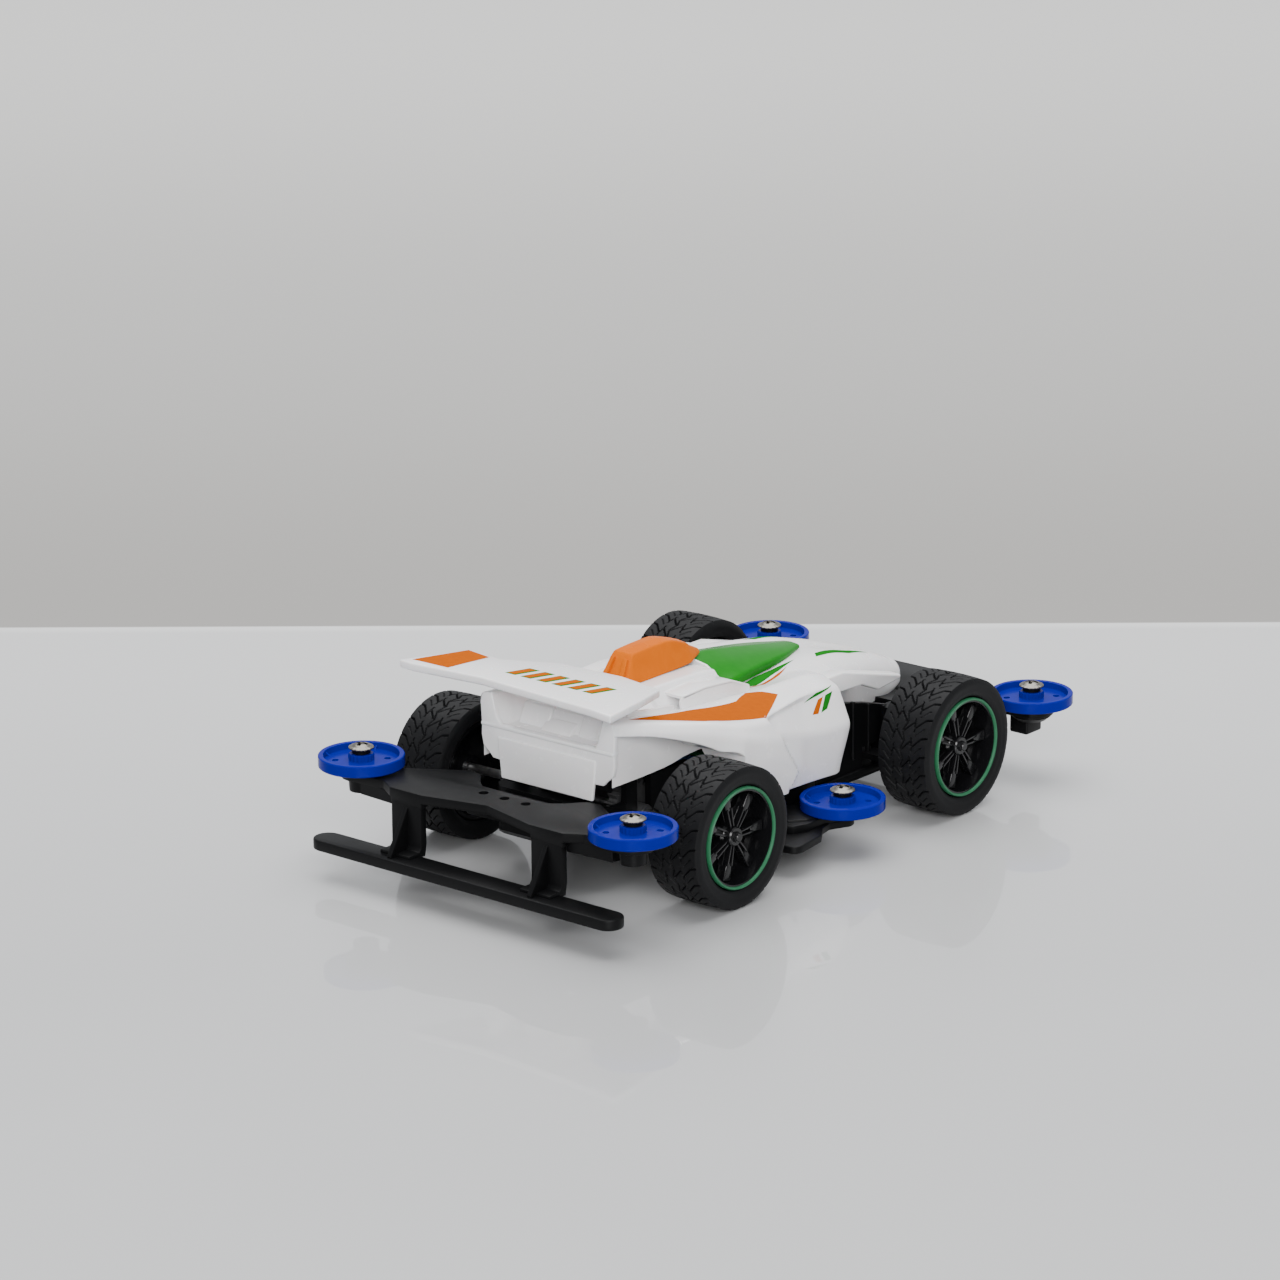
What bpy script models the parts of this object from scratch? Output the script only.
"""Small radio-controlled racing car with guide rollers, modelled in metres, +Z up.

+Y is the way the car drives and +X is its right side. All lengths below are in
millimetres in the car's own frame, whose origin is on the ground midway between
the two axles. CENTRE_SHIFT then moves the car so that its box is centred.
"""
import math

import bmesh
import bpy
from mathutils import Matrix, Vector

MM = 0.001
GAP = 0.3

# wheels and steering
WHEELBASE = 80.0
TYRE_R = 15.85
TYRE_WIDTH = 13.8
TYRE_BORE_R = 11.6
WHEEL_X = 36.8
RING_R = 11.3
AXLE_R = 1.0
KINGPIN_X = 27.0
LEVER = 8.0
REAR_Y = -WHEELBASE / 2
FRONT_Y = WHEELBASE / 2
TIE_ROD_Y = FRONT_Y - LEVER
SERVO_Y = TIE_ROD_Y - LEVER
TIE_ROD_Z = 11.6

# gears
MODULE = 0.6
PINION_TEETH = 10
SPUR_TEETH = 22
MOTOR_Y = REAR_Y + MODULE * (PINION_TEETH + SPUR_TEETH) / 2
GEAR_X = 15.0 - 3.4

# guide rollers: half track, y, top of rim
ROLLER_R = 9.5
ROLLER_H = 2.6
ROLLERS = {
    "rear": (38.75, -70.24, 25.8),
    "side": (36.15, 4.06, 12.2),
    "front": (38.45, 71.3, 20.3),
}
SCREW_R = 1.0
SCREW_HEAD_R = 2.8
ROLLER_BORE_R = 1.09

# rear bumper and its skid bar
BAR_Y = -80.0
BAR_HALF_X = 42.4
BAR_WIDTH = 6.5
BAR_TOP = 9.0
BAR_THICK = 2.5
REAR_PLATE_TOP = 22.8
POST_X = 20.0
POST_WIDTH = 8.6
POST_Y = -74.6

# front bumper
PLATE_THICK = 2.2

# chassis
FLOOR_Z = 7.0
FLOOR_THICK = 1.6
WALL = 1.6
CHASSIS_FRONT_X = 22.0
CHASSIS_MID_X = 25.0
CHASSIS_REAR_X = 16.2

# body
SHELL = 1.3
WING_TOP = 44.0
WING_THICK = 1.9

CENTRE_SHIFT = -((ROLLERS["front"][1] + ROLLER_R) + (BAR_Y - BAR_WIDTH / 2)) / 2
CAR = Vector((0.0, CENTRE_SHIFT * MM, 0.0))


def clear_scene():
    for item in list(bpy.data.objects):
        bpy.data.objects.remove(item, do_unlink=True)


def new_collection(name):
    group = bpy.data.collections.new(name)
    bpy.context.scene.collection.children.link(group)
    return group


clear_scene()
PARTS = new_collection("drift_car")
CUTTERS = new_collection("cutters")


def paint(name, colour, roughness, metallic=0.0):
    shade = bpy.data.materials.new(name)
    shade.use_nodes = True
    node = shade.node_tree.nodes["Principled BSDF"]
    node.inputs["Base Color"].default_value = (*colour, 1.0)
    node.inputs["Roughness"].default_value = roughness
    node.inputs["Metallic"].default_value = metallic
    shade.diffuse_color = (*colour, 1.0)
    return shade


def at(x, y, z):
    """A place in the car's frame, in metres in the world."""
    return CAR + Vector((x, y, z)) * MM


def put(name, mesh, where, shade=None, group=None, turn=(0.0, 0.0, 0.0)):
    item = bpy.data.objects.new(name, mesh)
    item.location = where
    item.rotation_euler = turn
    if shade is None:
        (group or CUTTERS).objects.link(item)
        item.hide_render = True
        item.display_type = "WIRE"
    else:
        (group or PARTS).objects.link(item)
        if not mesh.materials:
            mesh.materials.append(shade)
    return item


def to_mesh(name, bm, smooth_angle=35.0):
    bmesh.ops.recalc_face_normals(bm, faces=bm.faces)
    mesh = bpy.data.meshes.new(name)
    bm.to_mesh(mesh)
    bm.free()
    mesh.shade_smooth()
    mesh.set_sharp_from_angle(angle=math.radians(smooth_angle))
    return mesh


def block(name, low, high):
    """A box between two corners, in millimetres."""
    low = Vector(low)
    high = Vector(high)
    bm = bmesh.new()
    bmesh.ops.create_cube(bm, size=1.0)
    bmesh.ops.scale(bm, vec=(high - low) * MM, verts=bm.verts)
    bmesh.ops.translate(bm, vec=(high + low) * MM / 2, verts=bm.verts)
    return to_mesh(name, bm)


def slab(name, outline, low, high):
    """A flat outline in plan, raised from one height to another."""
    bm = bmesh.new()
    corners = [bm.verts.new((x * MM, y * MM, low * MM)) for x, y in outline]
    face = bm.faces.new(corners)
    grown = bmesh.ops.extrude_face_region(bm, geom=[face])["geom"]
    raised = [v for v in grown if isinstance(v, bmesh.types.BMVert)]
    bmesh.ops.translate(bm, vec=(0.0, 0.0, (high - low) * MM), verts=raised)
    return to_mesh(name, bm)


def side_slab(name, outline, low, high):
    """An outline in the y-z plane, carried from x = low to x = high."""
    bm = bmesh.new()
    corners = [bm.verts.new((low * MM, y * MM, z * MM)) for y, z in outline]
    face = bm.faces.new(corners)
    grown = bmesh.ops.extrude_face_region(bm, geom=[face])["geom"]
    raised = [v for v in grown if isinstance(v, bmesh.types.BMVert)]
    bmesh.ops.translate(bm, vec=((high - low) * MM, 0.0, 0.0), verts=raised)
    return to_mesh(name, bm)


def rod(name, radius, low, high, axis="Z", centre=(0.0, 0.0, 0.0), sides=24):
    """A round bar along one axis, from low to high, about a centre line."""
    bm = bmesh.new()
    bmesh.ops.create_cone(bm, cap_ends=True, segments=sides, radius1=radius * MM,
                          radius2=radius * MM, depth=(high - low) * MM)
    bmesh.ops.translate(bm, vec=(0.0, 0.0, (high + low) * MM / 2), verts=bm.verts)
    if axis == "X":
        bmesh.ops.rotate(bm, matrix=Matrix.Rotation(math.pi / 2, 3, "Y"), verts=bm.verts)
    if axis == "Y":
        bmesh.ops.rotate(bm, matrix=Matrix.Rotation(-math.pi / 2, 3, "X"), verts=bm.verts)
    bmesh.ops.translate(bm, vec=Vector(centre) * MM, verts=bm.verts)
    return to_mesh(name, bm)


def mirrored(half):
    """A whole ring from its right half, listed from the top to the bottom."""
    left = [(-x, z) for x, z in reversed(half) if x > 0.0]
    return list(half) + left


def loft(name, sections):
    """A closed body through rings of equal length, one ring at each y."""
    bm = bmesh.new()
    rings = []
    for y, ring in sections:
        rings.append([bm.verts.new((x * MM, y * MM, z * MM)) for x, z in ring])
    for near, far in zip(rings, rings[1:]):
        for i in range(len(near)):
            j = (i + 1) % len(near)
            bm.faces.new((near[i], near[j], far[j], far[i]))
    bm.faces.new(rings[0])
    bm.faces.new(rings[-1])
    return to_mesh(name, bm)


def turned(name, profile, steps):
    """A profile in the x-z plane, listed down its outer side, turned about z."""
    bm = bmesh.new()
    points = [bm.verts.new((r * MM, 0.0, z * MM)) for r, z in profile]
    for start, end in zip(points, points[1:]):
        bm.edges.new((start, end))
    on_axis = profile[0][0] == 0.0
    if not on_axis:
        bm.edges.new((points[-1], points[0]))
    mesh = bpy.data.meshes.new(name)
    bm.to_mesh(mesh)
    bm.free()
    item = put(name + "_profile", mesh, (0.0, 0.0, 0.0))
    spin = item.modifiers.new("spin", "SCREW")
    spin.steps = steps
    spin.render_steps = steps
    spin.use_merge_vertices = True
    spin.merge_threshold = 0.00001
    graph = bpy.context.evaluated_depsgraph_get()
    result = bpy.data.meshes.new_from_object(item.evaluated_get(graph))
    result.name = name
    bpy.data.objects.remove(item, do_unlink=True)
    result.shade_smooth()
    result.set_sharp_from_angle(angle=math.radians(35.0))
    return result


def boolean(item, operation, mesh, where=CAR, turn=(0.0, 0.0, 0.0)):
    """Cut or join with a mesh that is kept as a hidden tool object."""
    tool = put(item.name + "_tool", mesh, where, turn=turn)
    step = item.modifiers.new(operation.lower(), "BOOLEAN")
    step.operation = operation
    step.solver = "EXACT"
    step.object = tool
    return tool


def rounded(item, width, segments=1, angle=40.0):
    step = item.modifiers.new("edges", "BEVEL")
    step.width = width * MM
    step.segments = segments
    step.limit_method = "ANGLE"
    step.angle_limit = math.radians(angle)
    step.use_clamp_overlap = True


def arc(centre, radius, start, end, count):
    """Points of an arc in plan, angles in degrees."""
    points = []
    for i in range(count + 1):
        angle = math.radians(start + (end - start) * i / count)
        points.append((centre[0] + radius * math.cos(angle), centre[1] + radius * math.sin(angle)))
    return points


def flipped(outline):
    return [(-x, y) for x, y in reversed(outline)]


WHITE = paint("white_abs", (0.82, 0.83, 0.85), 0.22)
ORANGE = paint("orange_abs", (0.85, 0.28, 0.03), 0.25)
GREEN = paint("green_abs", (0.03, 0.33, 0.05), 0.18)
BLACK = paint("black_nylon", (0.014, 0.014, 0.015), 0.5)
RUBBER = paint("tyre_rubber", (0.022, 0.022, 0.023), 0.72)
RIM_BLACK = paint("rim_gloss_black", (0.008, 0.008, 0.009), 0.2)
RING_GREEN = paint("ring_green_paint", (0.03, 0.25, 0.12), 0.35)
BLUE = paint("roller_blue", (0.005, 0.03, 0.55), 0.22)
NICKEL = paint("nickel_steel", (0.62, 0.58, 0.52), 0.25, 1.0)
STEEL = paint("axle_steel", (0.55, 0.55, 0.56), 0.3, 1.0)
GEAR = paint("gear_nylon", (0.75, 0.72, 0.62), 0.45)
BOARD = paint("board_green", (0.02, 0.16, 0.07), 0.5)
CELL = paint("cell_wrap", (0.05, 0.12, 0.35), 0.35)


# ---------------------------------------------------------------- body shell

def pod_section(spine, valley, crest, shoulder, crease, edge, inner, sill):
    return mirrored([(0.0, spine[1]), spine, valley, crest, shoulder, crease, edge, inner, sill])


def body_sections():
    """Stations of the body from its rear panel to the front of the pods."""
    wall = CHASSIS_REAR_X + 2.1
    stations = [
        (-53.0, (8.0, 32.7), (14.0, 32.7), (15.8, 40.2), (18.6, 39.6), (19.0, 38.2), (19.2, 36.8),
         (wall, 36.6), (wall, 25.2)),
        (-46.5, (8.0, 32.7), (14.0, 32.7), (16.2, 39.4), (20.6, 38.6), (21.6, 37.0), (21.8, 35.8),
         (wall, 35.6), (wall, 25.2)),
        (-45.0, (8.0, 36.6), (13.6, 33.2), (16.4, 39.1), (21.1, 38.4), (22.2, 36.7), (22.4, 35.5),
         (wall, 35.3), (wall, 25.2)),
        (-36.0, (8.4, 37.6), (13.4, 34.2), (17.4, 37.7), (24.2, 36.8), (25.8, 34.6), (26.0, 32.7),
         (wall, 32.5), (wall, 25.4)),
        (-30.5, (8.8, 38.0), (13.2, 34.8), (18.0, 36.9), (26.2, 35.8), (27.8, 33.2), (28.0, 30.2),
         (wall, 30.0), (wall, 26.0)),
        (-29.5, (8.8, 39.8), (13.2, 35.0), (18.1, 36.8), (26.6, 35.6), (28.2, 32.9), (28.4, 29.6),
         (wall, 29.4), (wall, 26.2)),
        (-23.0, (9.0, 39.8), (13.0, 35.2), (18.6, 35.9), (28.6, 34.0), (30.4, 31.0), (30.6, 27.0),
         (wall, 26.8), (wall, 26.5)),
        (-22.4, (9.0, 39.8), (13.0, 35.2), (18.6, 35.8), (28.7, 33.9), (30.6, 30.8), (29.4, 14.1),
         (27.8, 14.0), (27.2, 14.0)),
        (-14.0, (9.0, 39.6), (12.8, 34.8), (19.0, 34.9), (29.0, 32.8), (30.6, 28.0), (29.0, 14.0),
         (27.8, 13.9), (27.2, 13.9)),
        (-7.4, (9.2, 39.0), (12.8, 34.2), (18.9, 34.7), (27.2, 32.4), (29.3, 27.0), (28.5, 13.9),
         (27.7, 13.8), (27.1, 13.8)),
        (-6.8, (9.2, 34.6), (12.8, 34.1), (18.8, 34.6), (27.0, 32.3), (29.2, 26.9), (28.4, 13.9),
         (27.6, 13.8), (27.0, 13.8)),
        (3.0, (9.6, 34.4), (12.8, 33.6), (18.6, 35.0), (25.2, 32.8), (28.4, 24.5), (28.0, 13.5),
         (27.2, 13.4), (26.8, 13.4)),
        (11.0, (9.8, 34.0), (13.4, 34.0), (19.0, 34.9), (24.8, 32.9), (28.2, 24.0), (27.4, 13.1),
         (26.8, 13.0), (26.4, 13.0)),
        (16.5, (9.8, 33.8), (13.6, 33.9), (19.4, 34.0), (24.4, 32.0), (27.8, 24.0), (26.2, 12.8),
         (25.8, 12.7), (25.4, 12.7)),
    ]
    return [(row[0], pod_section(*row[1:])) for row in stations]


def nose_sections():
    """Stations of the nose: centre, ridge, flank and lower edge."""
    stations = [
        (9.0, 33.7, (9.8, 33.9), (16.0, 33.6), (16.4, 29.0)),
        (16.5, 33.6, (10.4, 34.2), (18.8, 33.7), (20.0, 28.0)),
        (24.0, 33.4, (10.5, 34.4), (17.6, 32.8), (18.8, 27.2)),
        (31.3, 33.0, (10.3, 34.0), (15.6, 31.0), (16.2, 25.2)),
        (41.6, 31.3, (9.8, 31.5), (13.4, 28.4), (14.0, 22.6)),
        (51.4, 28.9, (8.6, 28.4), (11.4, 25.0), (11.8, 20.2)),
        (60.0, 25.4, (6.6, 24.9), (8.6, 22.4), (8.8, 18.6)),
        (64.3, 23.6, (4.6, 23.2), (6.0, 21.8), (6.2, 18.6)),
    ]
    return [(y, mirrored([(0.0, top), ridge, flank, edge])) for y, top, ridge, flank, edge in stations]


def cavity_sections():
    """The space under the shell, from the rear panel to the front of the pods."""
    half = CHASSIS_REAR_X + 2.1 - SHELL
    stations = [
        (-53.0 + SHELL, 31.4, 7.0, (half, 31.4), (half, 24.0)),
        (-44.0, 31.4, 7.0, (half, 31.4), (half, 24.0)),
        (-43.0, 35.2, 6.6, (13.0, 31.8), (half, 24.0)),
        (-29.0, 36.4, 6.8, (13.0, 32.6), (half, 24.0)),
        (-28.0, 38.2, 6.8, (12.0, 33.2), (half, 24.0)),
        (-22.0, 38.2, 6.8, (12.0, 33.2), (half, 24.0)),
        (-21.2, 38.2, 6.8, (13.0, 32.8), (26.4, 28.0)),
        (-8.8, 37.4, 6.8, (13.0, 32.2), (26.1, 25.5)),
        (-8.2, 33.2, 7.0, (13.0, 32.2), (26.0, 25.4)),
        (4.0, 33.0, 7.0, (13.0, 31.8), (25.6, 23.5)),
        (15.0, 32.2, 7.0, (16.0, 31.6), (24.6, 22.5)),
    ]
    rings = []
    for y, top, half_top, knee, foot in stations:
        ring = [(0.0, top), (half_top, top), knee, foot, (foot[0], 5.0)]
        rings.append((y, mirrored(ring)))
    return rings


def nose_cavity():
    stations = [
        (12.0, 32.0, (9.0, 32.2), (15.0, 30.0)),
        (24.0, 31.8, (9.4, 32.2), (16.6, 28.0)),
        (31.3, 31.4, (9.2, 31.8), (14.4, 26.0)),
        (41.6, 29.6, (8.6, 29.6), (12.4, 24.0)),
        (51.4, 27.2, (7.4, 26.8), (10.2, 21.0)),
        (60.5, 23.6, (5.4, 23.4), (7.2, 19.0)),
    ]
    rings = []
    for y, top, ridge, foot in stations:
        rings.append((y, mirrored([(0.0, top), ridge, foot, (foot[0], 5.0)])))
    return rings


def build_body():
    shell = put("body_shell", loft("body_shell", body_sections()), CAR, WHITE)
    boolean(shell, "UNION", loft("nose", nose_sections()))
    boolean(shell, "UNION", block("rear_lip", (-12.7, -53.0, 21.2), (12.7, -46.0, 30.0)))
    for side in (-1, 1):
        x_in = 16.6
        x_out = 20.8
        fang = [
            (18.0, 33.2), (24.0, 33.2), (45.3, 27.4), (45.3, 26.6), (37.0, 25.6), (31.0, 28.4), (18.0, 29.0),
        ]
        blade = side_slab("fang", fang, min(side * x_in, side * x_out), max(side * x_in, side * x_out))
        boolean(shell, "UNION", blade)
    boolean(shell, "DIFFERENCE", loft("cavity", cavity_sections()))
    boolean(shell, "DIFFERENCE", loft("nose_cavity", nose_cavity()))
    lip = 12.7 - SHELL
    boolean(shell, "DIFFERENCE", block("lip_cavity", (-lip, -53.0 + SHELL, 10.0), (lip, -44.0, 26.0)))
    front = CHASSIS_FRONT_X + 0.5
    boolean(shell, "DIFFERENCE", block("chassis_room", (-front, 8.0, 5.0), (front, 19.0, 27.4)))
    return shell


def build_canopy():
    """The tinted-look cockpit cover: crown, flank, lower edge and flat base."""
    stations = [
        (-6.2, 40.3, (6.0, 39.2), (11.6, 35.8), 35.0),
        (1.0, 39.8, (6.0, 38.4), (10.8, 36.4), 34.9),
        (8.0, 38.7, (5.4, 37.6), (9.4, 36.2), 34.5),
        (20.0, 36.6, (4.0, 36.2), (6.8, 35.4), 34.4),
        (31.0, 34.6, (1.6, 34.5), (2.6, 34.3), 33.7),
    ]
    rings = []
    for y, top, flank, edge, base in stations:
        rings.append((y, mirrored([(0.0, top), flank, edge, (edge[0], base)])))
    return put("canopy", loft("canopy", rings), CAR, GREEN)


def build_engine_cover():
    stations = [
        (-30.6, 40.9, 3.6, 4.6, 40.1),
        (-27.6, 46.0, 2.7, 4.6, 40.1),
        (-17.0, 46.8, 2.9, 4.4, 40.1),
        (-9.0, 44.6, 2.4, 3.8, 40.1),
        (-6.6, 43.2, 1.8, 3.0, 40.7),
        (-2.8, 41.3, 0.7, 1.2, 40.7),
    ]
    rings = []
    for y, top, half_top, half_base, base in stations:
        rings.append((y, mirrored([(half_top, top), (half_base, base)])))
    cover = put("engine_cover", loft("engine_cover", rings), CAR, ORANGE)
    rounded(cover, 0.4)
    return cover


def build_wing():
    """A flat wing with a long tip on its left, on two brackets and a peg."""
    outline = [
        (-39.3, -57.0), (-35.0, -57.4), (-16.6, -55.6), (16.8, -58.2), (23.5, -59.4),
        (21.6, -48.0), (19.5, -38.2), (7.1, -36.0), (-10.0, -37.0), (-22.0, -42.8), (-32.0, -41.6),
    ]
    low = WING_TOP - WING_THICK
    wing = put("rear_wing", slab("rear_wing", outline, low, WING_TOP), CAR, WHITE)
    for side in (-1, 1):
        inner = side * 14.8
        outer = side * 18.0
        foot = block("wing_foot", (min(inner, outer), -52.0, 40.7), (max(inner, outer), -44.0, low + 0.5))
        boolean(wing, "UNION", foot)
    boolean(wing, "UNION", rod("wing_peg", 1.3, 37.9, low + 0.5, centre=(0.0, -41.0, 0.0), sides=12))
    return wing


# ---------------------------------------------------------------- chassis

def chassis_plan():
    right = [
        (13.0, -54.0), (15.2, -52.0), (CHASSIS_REAR_X, -46.0), (CHASSIS_REAR_X, -20.4),
        (CHASSIS_MID_X, -19.8), (CHASSIS_MID_X, 8.0), (CHASSIS_FRONT_X, 12.0),
        (CHASSIS_FRONT_X, 50.0), (17.5, 60.0),
    ]
    return right + flipped(right)


def chassis_profile():
    return [
        (-54.0, FLOOR_Z + 2.5), (-50.0, FLOOR_Z), (54.0, FLOOR_Z), (60.0, FLOOR_Z + 3.0),
        (60.0, 17.6), (50.0, 19.4), (39.0, 21.9), (31.0, 24.3), (21.0, 26.6), (13.8, 26.6),
        (13.0, 20.3), (-24.0, 20.3), (-24.6, 23.8), (-45.6, 23.8), (-45.8, 19.5), (-54.0, 19.5),
    ]


def chassis_pocket():
    inner = CHASSIS_REAR_X - WALL
    mid = CHASSIS_MID_X - WALL
    front = CHASSIS_FRONT_X - WALL
    right = [
        (inner, -50.0), (inner, -18.8), (mid, -18.2), (mid, 7.4), (front, 11.4), (front, 46.0),
    ]
    return right + flipped(right)


DOOR_X = 11.0
DOOR_Y = (-18.0, 14.0)
SWITCH_X = 18.6
SWITCH_Y = -8.0
TRIM_Y = 24.0


def build_chassis():
    top = 30.0
    tub = put("chassis", slab("chassis", chassis_plan(), 0.0, top), CAR, BLACK)
    profile = side_slab("side_profile", chassis_profile(), -30.0, 30.0)
    boolean(tub, "INTERSECT", profile)
    boolean(tub, "DIFFERENCE", slab("pocket", chassis_pocket(), FLOOR_Z + FLOOR_THICK, top))
    boolean(tub, "DIFFERENCE", block("under_deck", (-15.0, 48.0, 0.0), (15.0, 58.4, 15.0)))
    door = block("door_hole", (-DOOR_X, DOOR_Y[0], 0.0), (DOOR_X, DOOR_Y[1], FLOOR_Z + 4.0))
    boolean(tub, "DIFFERENCE", door)
    # slots that the tie rod passes through, and the rear axle's slots
    rod_room = 2.6
    low = TIE_ROD_Z - rod_room
    high = TIE_ROD_Z + rod_room
    slot = block("rod_slot", (-30.0, TIE_ROD_Y - 2.8, low), (30.0, TIE_ROD_Y + 2.8, high))
    boolean(tub, "DIFFERENCE", slot)
    hub = TYRE_R
    axle_slot = block("axle_slot", (-30.0, REAR_Y - 2.3, hub - 2.3), (30.0, REAR_Y + 2.3, 30.0))
    boolean(tub, "DIFFERENCE", axle_slot)
    near = (SWITCH_X - 1.6, SWITCH_Y - 4.2, 0.0)
    far = (SWITCH_X + 1.6, SWITCH_Y + 4.2, 12.0)
    switch = block("switch_slot", near, far)
    boolean(tub, "DIFFERENCE", switch)
    trim = rod("trim_hole", 2.3, 0.0, FLOOR_Z + 4.0, centre=(0.0, TRIM_Y, 0.0), sides=20)
    boolean(tub, "DIFFERENCE", trim)
    # arms above and below each knuckle, round about the kingpin
    for side in (-1, 1):
        x = side * KINGPIN_X
        for low, high in ((TYRE_R - 8.6, TYRE_R - 6.4), (TYRE_R + 4.4, TYRE_R + 6.2)):
            outline = arc((KINGPIN_X, FRONT_Y), 2.7, -90.0, 90.0, 8)
            root = CHASSIS_FRONT_X - 1.0
            outline += [(root, FRONT_Y + 4.0), (root, FRONT_Y - 4.0)]
            if side < 0:
                outline = flipped(outline)
            boolean(tub, "UNION", slab("knuckle_arm", outline, low, high))
        pin = rod("kingpin_hole", 1.3, 0.0, 30.0, centre=(x, FRONT_Y, 0.0), sides=16)
        boolean(tub, "DIFFERENCE", pin)
    return tub


def build_side_arm(side):
    """A two-step bracket that carries the middle guide roller."""
    name = "side_arm_right" if side > 0 else "side_arm_left"
    x, y, top = ROLLERS["side"]
    root = CHASSIS_MID_X + GAP
    low_plate = [(root, -17.5), (38.6, -19.2), (41.4, -17.2), (40.6, -7.6), (38.4, -2.0)]
    low_plate += arc((x, y), 4.4, -10.0, 120.0, 6) + [(root, 10.5)]
    high_plate = [(root, -12.5), (34.6, -12.8), (37.6, -8.6), (38.6, -1.0)]
    high_plate += arc((x, y), 3.6, -10.0, 130.0, 6) + [(root, 8.5)]
    if side < 0:
        low_plate = flipped(low_plate)
        high_plate = flipped(high_plate)
    roof = top - ROLLER_H - GAP
    arm = put(name, slab(name, low_plate, roof - 3.6, roof - 1.8), CAR, BLACK)
    boolean(arm, "UNION", slab(name + "_step", high_plate, roof - 2.2, roof))
    hole = rod("screw_hole", SCREW_R + GAP, 0.0, 30.0, centre=(side * x, y, 0.0), sides=12)
    boolean(arm, "DIFFERENCE", hole)
    return arm


def build_front_bumper():
    x, y, top = ROLLERS["front"]
    roof = top - ROLLER_H - GAP
    back = 60.0 + GAP
    right = [(17.0, back), (26.0, 64.0), (34.0, 66.2)] + arc((x, y), 5.2, -60.0, 110.0, 8)
    right += [(27.0, 76.5), (12.0, 79.2)]
    plate = slab("front_bumper", right + flipped(right), roof - PLATE_THICK, roof)
    bumper = put("front_bumper", plate, CAR, BLACK)
    for side in (-1, 1):
        boss = block("boss", (side * x - 3.4, y - 3.6, roof - 7.0), (side * x + 3.4, y + 3.6, roof - 1.0))
        boolean(bumper, "UNION", boss)
        hole = rod("screw_hole", SCREW_R + GAP, 0.0, 40.0, centre=(side * x, y, 0.0), sides=12)
        boolean(bumper, "DIFFERENCE", hole)
    beam = block("beam", (-14.0, 72.0, roof - 5.0), (14.0, 74.0, roof - 1.0))
    boolean(bumper, "UNION", beam)
    return bumper


def build_rear_bumper():
    """Roller plate, two posts with gussets and the skid bar behind them."""
    x, y, top = ROLLERS["rear"]
    roof = REAR_PLATE_TOP
    floor = roof - PLATE_THICK
    post_back = POST_Y - 2.2
    right = [(0.0, -63.6), (9.0, -63.4), (14.6, -57.6), (19.0, -57.0), (24.0, -60.6), (33.0, -66.0)]
    right += arc((x, y), 4.6, 60.0, -110.0, 8)
    right += [(28.0, -74.4), (24.6, post_back), (15.2, post_back), (0.0, -72.6)]
    outline = right + flipped(right[1:-1])
    bumper = put("rear_bumper", slab("rear_bumper", outline, floor, roof), CAR, BLACK)
    bar_low = BAR_TOP - BAR_THICK
    half = BAR_WIDTH / 2
    end = BAR_HALF_X - half
    bar = arc((end, BAR_Y), half, -90.0, 90.0, 8)
    boolean(bumper, "UNION", slab("bar", bar + flipped(bar), bar_low, BAR_TOP))
    for side in (-1, 1):
        mid = side * POST_X
        wide = POST_WIDTH / 2
        post = block("post", (mid - wide, POST_Y - 2.0, BAR_TOP - 1.0), (mid + wide, POST_Y, roof - 0.5))
        boolean(bumper, "UNION", post)
        near = (mid - wide, BAR_Y - 1.0, BAR_TOP - 1.2)
        foot = block("foot", near, (mid + wide, POST_Y - 0.4, BAR_TOP + 0.8))
        boolean(bumper, "UNION", foot)
        gusset = [(POST_Y - 1.0, BAR_TOP - 0.5), (POST_Y - 1.0, roof - 3.0), (BAR_Y - 2.4, BAR_TOP - 0.5)]
        rib = side_slab("gusset", gusset, mid - 0.6, mid + 0.6)
        boolean(bumper, "UNION", rib)
        hole = rod("screw_hole", SCREW_R + GAP, 12.0, 40.0, centre=(side * x, y, 0.0), sides=12)
        boolean(bumper, "DIFFERENCE", hole)
        drop = block("boss", (side * x - 3.0, y - 3.0, floor - 3.0), (side * x + 3.0, y + 3.0, floor + 0.5))
        boolean(bumper, "UNION", drop)
        boolean(bumper, "DIFFERENCE", rod("boss_hole", SCREW_R + GAP, 12.0, 40.0,
                                          centre=(side * x, y, 0.0), sides=12))
    for place in (-6.0, 0.0, 6.0):
        hole = rod("plate_hole", 1.1, 12.0, 40.0, centre=(place, -67.0, 0.0), sides=12)
        boolean(bumper, "DIFFERENCE", hole)
    stay = block("stay", (-12.0, -63.8, floor - 4.0), (12.0, -54.0 - GAP, floor - 1.4))
    boolean(bumper, "UNION", stay)
    web = block("web", (-12.0, -66.0, floor - 4.0), (12.0, -63.4, floor + 0.4))
    boolean(bumper, "UNION", web)
    return bumper


# ---------------------------------------------------------------- wheels

def tyre_profile():
    """Down the outer side: a flat crown with rounded shoulders, then the bore."""
    half = TYRE_WIDTH / 2
    bore = TYRE_BORE_R
    points = [(bore, half - 0.6), (bore + 1.0, half), (TYRE_R - 2.0, half - 0.2)]
    for angle in (55.0, 0.0):
        turn = math.radians(angle)
        points.append((TYRE_R - 1.8 + 1.8 * math.cos(turn), half - 2.2 + 1.9 * math.sin(turn)))
    lower = [(r, -z) for r, z in reversed(points)]
    return points + lower


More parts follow.
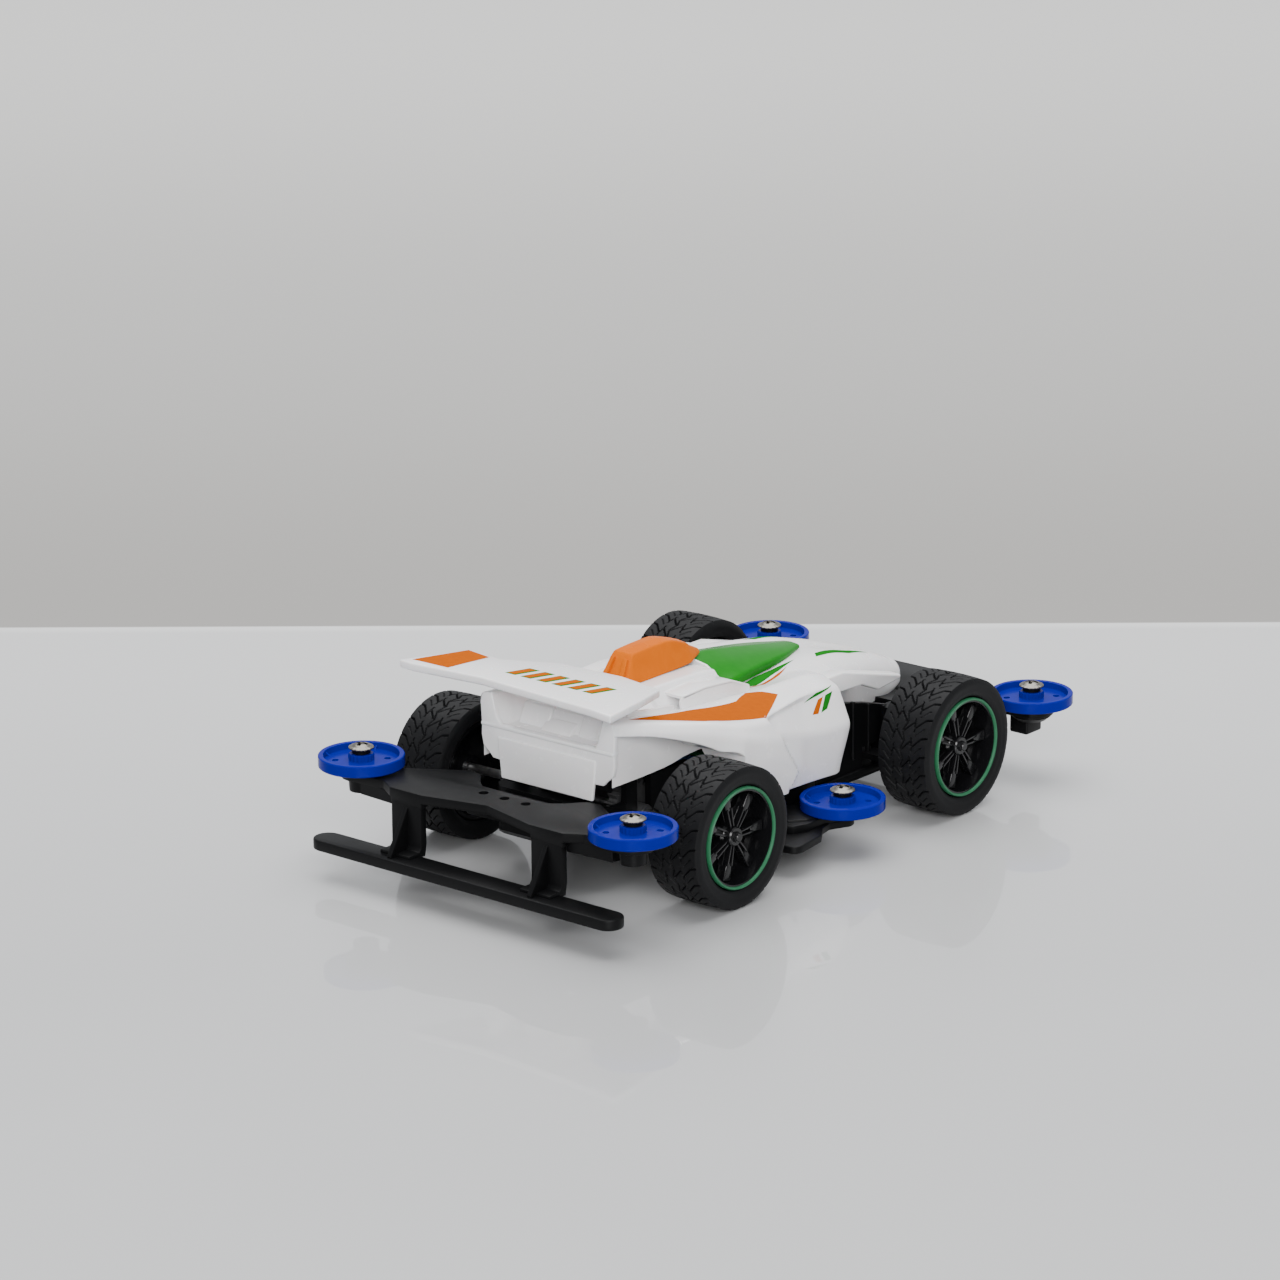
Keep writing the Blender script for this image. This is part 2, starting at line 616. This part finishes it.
def rim_profile():
    half = TYRE_WIDTH / 2
    barrel = TYRE_BORE_R - GAP
    return [
        (RING_R - 1.0 - GAP, half - 1.2), (barrel, half - 1.5), (barrel, -half + 1.2),
        (barrel - 1.3, -half + 1.2), (barrel - 1.5, half - 5.0), (2.6, half - 5.4), (2.6, -half + 3.0),
        (1.3, -half + 3.0), (1.3, half - 2.2), (2.7, half - 2.2), (2.7, half - 3.4), (9.7, half - 3.2),
        (9.7, half - 1.4),
    ]


def build_wheel(name, where, side):
    half = TYRE_WIDTH / 2
    turn = (0.0, side * math.pi / 2, 0.0)
    put("tyre_" + name, turned("tyre", tyre_profile(), 30), where, RUBBER, turn=turn)
    rim = put("rim_" + name, turned("rim", rim_profile(), 24), where, RIM_BLACK, turn=turn)
    spokes = 7
    for i in range(spokes):
        angle = 360.0 * (i + 0.5) / spokes
        wedge = [(3.6 * math.cos(math.radians(angle)), 3.6 * math.sin(math.radians(angle)))]
        wedge += arc((0.0, 0.0), 9.2, angle - 17.0, angle + 17.0, 3)
        window = slab("window", wedge, half - 8.0, half + 1.0)
        boolean(rim, "DIFFERENCE", window, where=where, turn=turn)
    inner = RING_R - 1.0
    ring = [(inner, half + 0.1), (RING_R, half + 0.1), (RING_R, half - 0.9), (inner, half - 0.9)]
    put("rim_ring_" + name, turned("rim_ring", ring, 28), where, RING_GREEN, turn=turn)


def gear_outline(teeth, phase):
    """Straight-sided teeth, a little thin so that the pair runs with backlash."""
    pitch = MODULE * teeth / 2
    step = 360.0 / teeth
    points = []
    for i in range(teeth):
        centre = phase + i * step
        for radius, offset in ((pitch - MODULE * 1.15, -0.30), (pitch + MODULE * 0.8, -0.09),
                               (pitch + MODULE * 0.8, 0.09), (pitch - MODULE * 1.15, 0.30)):
            angle = math.radians(centre + offset * step)
            points.append((radius * math.cos(angle), radius * math.sin(angle)))
    return points


def build_gear(name, teeth, phase, width, bore, where, shade):
    gear = put(name, slab(name, gear_outline(teeth, phase), -width / 2, width / 2), where, shade,
               turn=(0.0, math.pi / 2, 0.0))
    hole = rod("bore", bore, -width, width, sides=20)
    boolean(gear, "DIFFERENCE", hole, where=where, turn=(0.0, math.pi / 2, 0.0))
    return gear


# ---------------------------------------------------------------- guide rollers

def roller_profile():
    top = 0.0
    low = -ROLLER_H
    return [
        (ROLLER_R - 1.1, top), (ROLLER_R, top), (ROLLER_R, low), (ROLLER_BORE_R, low),
        (ROLLER_BORE_R, top + 0.2), (2.8, top + 0.2), (2.8, low + 1.3), (ROLLER_R - 1.3, low + 1.3),
    ]


def spacer_profile():
    return [(SCREW_R + GAP, 0.8), (2.0, 0.8), (2.0, 0.0), (SCREW_R + GAP, 0.0)]


def screw_profile(length):
    top = 1.55
    return [
        (0.0, top), (1.3, top - 0.1), (2.4, top - 0.5),
        (SCREW_HEAD_R, top - 0.9), (SCREW_HEAD_R, top - 1.25),
        (SCREW_R, top - 1.3), (SCREW_R, -length), (0.0, -length),
    ]


def build_roller(place, side):
    x, y, top = ROLLERS[place]
    label = place + ("_right" if side > 0 else "_left")
    put("roller_" + label, turned("roller", roller_profile(), 26), at(side * x, y, top), BLUE)
    spacer = top + 0.2 + GAP / 3
    spacer_mesh = turned("roller_spacer", spacer_profile(), 14)
    put("roller_spacer_" + label, spacer_mesh, at(side * x, y, spacer), BLACK)
    head = spacer + 0.8 + GAP / 3 - 0.25
    length = 7.6 if place != "side" else 5.6
    screw_mesh = turned("roller_screw", screw_profile(length), 16)
    put("roller_screw_" + label, screw_mesh, at(side * x, y, head), NICKEL)


# ---------------------------------------------------------------- steering and drive

def build_knuckle(side):
    name = "steering_knuckle_right" if side > 0 else "steering_knuckle_left"
    where = at(side * KINGPIN_X, FRONT_Y, TYRE_R)
    knuckle = put(name, rod(name, 2.6, -6.0, 4.0, sides=20), where, BLACK)
    boolean(knuckle, "UNION", rod("kingpin", 1.0, -8.4, 6.0, sides=14), where)
    low = min(0.0, side * 15.0)
    stub = rod("stub", AXLE_R, low, low + 15.0, axis="X", sides=14)
    boolean(knuckle, "UNION", stub, where)
    lever = slab("lever", [(-1.8, -LEVER - 1.6), (1.8, -LEVER - 1.6), (1.8, 0.0), (-1.8, 0.0)], -5.9, -4.6)
    boolean(knuckle, "UNION", lever, where)
    pin = rod("lever_pin", 0.8, -5.0, -2.2, centre=(0.0, -LEVER, 0.0), sides=12)
    boolean(knuckle, "UNION", pin, where)
    return knuckle


def eye(x, low, high):
    """A slotted eye that lets the lever's pin swing fore and aft."""
    return block("eye", (x - 1.15, -1.55, low), (x + 1.15, 1.55, high))


def build_tie_rod():
    where = at(0.0, TIE_ROD_Y, TIE_ROD_Z)
    reach = KINGPIN_X + 2.1
    tie = put("tie_rod", block("tie_rod", (-reach, -2.3, 0.0), (reach, 2.3, 1.3)), where, BLACK)
    for x in (-KINGPIN_X, 0.0, KINGPIN_X):
        boolean(tie, "DIFFERENCE", eye(x, -2.0, 2.0), where)
    return tie


def build_servo_arm():
    where = at(0.0, SERVO_Y, TIE_ROD_Z)
    arm = put("servo_arm", rod("servo_arm", 2.2, 1.6, 3.1, sides=16), where, GEAR)
    bar = block("bar", (-1.2, 0.0, 1.7), (1.2, LEVER + 1.2, 3.0))
    boolean(arm, "UNION", bar, where)
    pin = rod("pin", 0.8, 0.1, 2.2, centre=(0.0, LEVER, 0.0), sides=12)
    boolean(arm, "UNION", pin, where)
    return arm


def build_servo():
    low = FLOOR_Z + FLOOR_THICK + GAP
    roof = TIE_ROD_Z + 1.3 - GAP
    case = block("steering_servo", (-9.0, 15.6, low), (9.0, SERVO_Y + 4.0, roof))
    servo = put("steering_servo", case, CAR, BLACK)
    return servo


def build_motor():
    """A small can motor lying across the car, flattened above and below."""
    half_long = 9.4
    centre = at(GEAR_X - 3.0 - half_long, MOTOR_Y, TYRE_R)
    flat = 6.3
    can = rod("motor", 7.6, -half_long, half_long, axis="X", sides=28)
    motor = put("motor", can, centre, STEEL)
    boolean(motor, "INTERSECT", block("flats", (-20.0, -20.0, -flat), (20.0, 20.0, flat)), centre)
    boolean(motor, "UNION", rod("boss", 2.0, half_long - 1.0, half_long + 0.9, axis="X", sides=16), centre)
    boss = rod("end_boss", 2.0, -half_long - 1.2, -half_long + 1.0, axis="X", sides=16)
    boolean(motor, "UNION", boss, centre)
    return motor


def build_drive():
    axle_half = WHEEL_X + 4.6
    where = at(0.0, REAR_Y, TYRE_R)
    put("rear_axle", rod("rear_axle", AXLE_R, -axle_half, axle_half, axis="X", sides=16), where, STEEL)
    build_gear("axle_gear", SPUR_TEETH, 0.0, 2.4, AXLE_R + GAP, at(GEAR_X, REAR_Y, TYRE_R), GEAR)
    half_tooth = 180.0 / PINION_TEETH
    spot = at(GEAR_X, MOTOR_Y, TYRE_R)
    pinion = put("pinion", slab("pinion", gear_outline(PINION_TEETH, half_tooth), -1.5, 1.5), spot, STEEL,
                 turn=(0.0, math.pi / 2, 0.0))
    return pinion


def build_bushing(side):
    name = "axle_bushing_right" if side > 0 else "axle_bushing_left"
    profile = [(AXLE_R + 0.07, 1.6), (1.95, 1.6), (1.95, -1.6), (AXLE_R + 0.07, -1.6)]
    put(name, turned(name, profile, 16), at(side * 15.2, REAR_Y, TYRE_R), GEAR, turn=(0.0, math.pi / 2, 0.0))


# ---------------------------------------------------------------- power and controls

def build_battery():
    low = FLOOR_Z + FLOOR_THICK + 1.2
    for number, x in ((1, -5.4), (2, 5.4)):
        cell = rod("battery_cell", 5.0, -13.0, 13.0, axis="Y", sides=20)
        put("battery_cell_%d" % number, cell, at(x, -4.0, low + 5.2), CELL)


def build_board():
    low = 20.6
    card = block("circuit_board", (-10.0, -14.0, low), (10.0, 9.0, low + 1.2))
    board = put("circuit_board", card, CAR, BOARD)
    chip = block("receiver_chip", (-4.0, -6.0, low + 1.0), (4.0, 1.0, low + 3.0))
    boolean(board, "UNION", chip)
    return board


def build_door():
    hinge_y = DOOR_Y[0] + 1.6
    where = at(0.0, hinge_y, FLOOR_Z + 1.0)
    far = DOOR_Y[1] - hinge_y - GAP
    wide = DOOR_X - GAP
    door = put("battery_door", block("battery_door", (-wide, 0.0, -0.8), (wide, far, 0.6)), where, BLACK)
    barrel = rod("hinge_barrel", 0.9, -wide, wide, axis="X", sides=12)
    boolean(door, "UNION", barrel, where)
    return door


def build_controls():
    where = at(SWITCH_X, SWITCH_Y - 1.5, FLOOR_Z)
    slider = put("power_switch", block("power_switch", (-1.2, -1.6, -0.8), (1.2, 1.6, 2.4)), where, GEAR)
    boolean(slider, "UNION", block("slider_base", (-2.6, -2.2, 1.9), (2.6, 2.2, 2.9)), where)
    spot = at(0.0, TRIM_Y, FLOOR_Z)
    trim = put("trim_knob", rod("trim_knob", 2.0, -0.6, 1.5, sides=20), spot, BLUE)
    boolean(trim, "DIFFERENCE", block("trim_slot", (-0.35, -3.0, -1.0), (0.35, 3.0, 0.1)), spot)
    return slider


def build_car():
    build_body()
    build_canopy()
    build_engine_cover()
    build_wing()
    build_chassis()
    build_front_bumper()
    build_rear_bumper()
    for side, word in ((-1, "left"), (1, "right")):
        build_side_arm(side)
        build_wheel("rear_" + word, at(side * WHEEL_X, REAR_Y, TYRE_R), side)
        build_wheel("front_" + word, at(side * WHEEL_X, FRONT_Y, TYRE_R), side)
        build_knuckle(side)
        build_bushing(side)
        for place in ROLLERS:
            build_roller(place, side)
    build_tie_rod()
    build_servo_arm()
    build_servo()
    build_motor()
    build_drive()
    build_battery()
    build_board()
    build_door()
    build_controls()


build_car()
